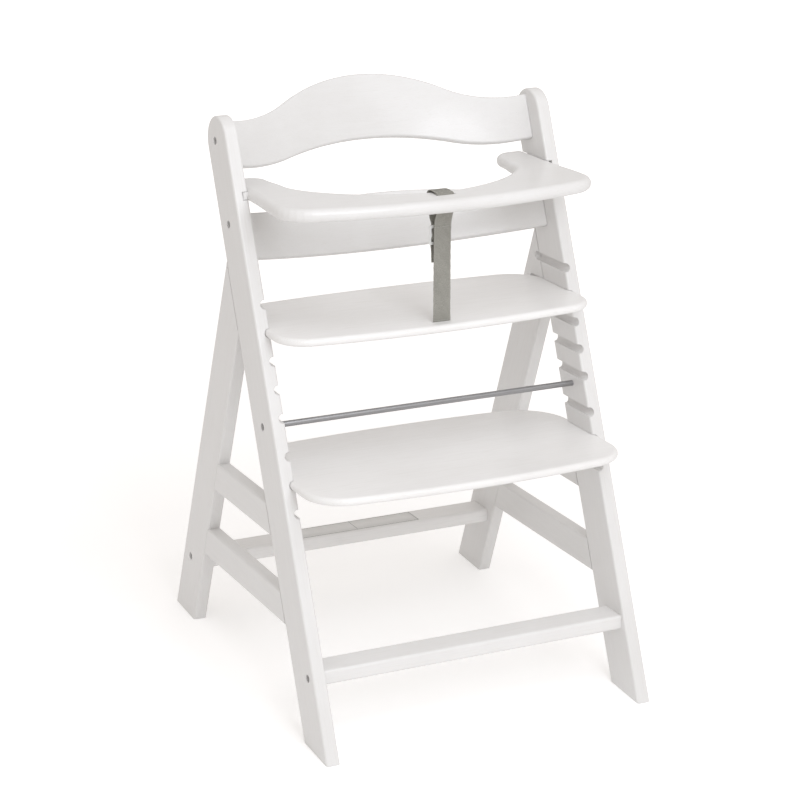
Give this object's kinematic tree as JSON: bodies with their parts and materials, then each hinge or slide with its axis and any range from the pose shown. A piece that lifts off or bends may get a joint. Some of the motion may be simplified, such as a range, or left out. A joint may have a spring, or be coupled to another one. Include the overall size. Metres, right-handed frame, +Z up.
{
  "type": "baby high chair",
  "caption": "Painted wooden high chair with leaning posts, grooves for a seat and foot board, a tray with a belly hollow, bent backrest boards and a crotch strap.",
  "frame": {"origin": "on the floor at the middle of the footprint", "axes": "+Z up, front of the chair faces -Y, +X towards the chair's right side seen from the front"},
  "size_m": [0.48, 0.55, 0.7861],
  "materials": {
    "painted_frame": "white satin lacquer on solid beech",
    "painted_board": "white satin lacquer on board",
    "painted_ply": "white satin lacquer on bent plywood",
    "beech": "raw",
    "bar_steel": "brushed",
    "zinc_steel": "zinc plated",
    "dark_steel": "black oxide",
    "webbing": "woven polyester webbing",
    "pale_plastic": "moulded, satin"
  },
  "bodies": {
    "frame": {"left_post": "painted_frame", "right_post": "painted_frame", "left_rear_leg": "painted_frame", "right_rear_leg": "painted_frame", "left_upper_rail": "painted_frame", "right_upper_rail": "painted_frame", "left_lower_rail": "painted_frame", "right_lower_rail": "painted_frame", "front_stretcher": "painted_frame", "rear_stretcher": "painted_frame", "upper_backrest": "painted_ply", "lower_backrest": "painted_ply", "clamp_bar": "bar_steel", "left_upper_back_screw": "dark_steel", "right_upper_back_screw": "dark_steel", "left_lower_back_screw": "dark_steel", "right_lower_back_screw": "dark_steel", "left_front_bolt": "dark_steel", "right_front_bolt": "dark_steel", "left_rear_bolt": "dark_steel", "right_rear_bolt": "dark_steel", "left_front_nut": "zinc_steel", "right_front_nut": "zinc_steel", "left_rear_nut": "zinc_steel", "right_rear_nut": "zinc_steel", "left_front_dowel": "beech", "right_front_dowel": "beech", "left_rear_dowel": "beech", "right_rear_dowel": "beech", "left_leg_dowels": "beech", "right_leg_dowels": "beech", "left_rail_dowels": "beech", "right_rail_dowels": "beech"},
    "seat": {"seat_board": "painted_board", "strap_anchor": "pale_plastic", "crotch_strap": "webbing"},
    "foot_rest": {"foot_board": "painted_board"},
    "tray": {"tray_board": "painted_board", "strap_loop": "webbing", "strap_slider": "pale_plastic"},
    "left_clamp": {"left_clamp_bolt": "dark_steel"},
    "right_clamp": {"right_clamp_bolt": "dark_steel"}
  },
  "joints": [
    {"name": "seat_slide", "type": "slide", "parent": "frame", "child": "seat", "axis": [0, -0.9981, 0.061], "range_m": [-0.01, 0.05], "deforming": ["crotch_strap"]},
    {"name": "foot_board_slide", "type": "slide", "parent": "frame", "child": "foot_rest", "axis": [0, -0.9981, 0.061], "range_m": [-0.04, 0.05]},
    {"name": "tray_slide", "type": "slide", "parent": "frame", "child": "tray", "axis": [0, -0.9981, 0.061], "range_m": [0, 0.06], "deforming": ["crotch_strap"]},
    {"name": "left_clamp_turn", "type": "hinge", "parent": "frame", "child": "left_clamp", "pos_m": [-0.23, -0.05179, 0.389], "axis": [1, 0, 0], "continuous": true},
    {"name": "right_clamp_turn", "type": "hinge", "parent": "frame", "child": "right_clamp", "pos_m": [0.23, -0.05179, 0.389], "axis": [1, 0, 0], "continuous": true}
  ]
}
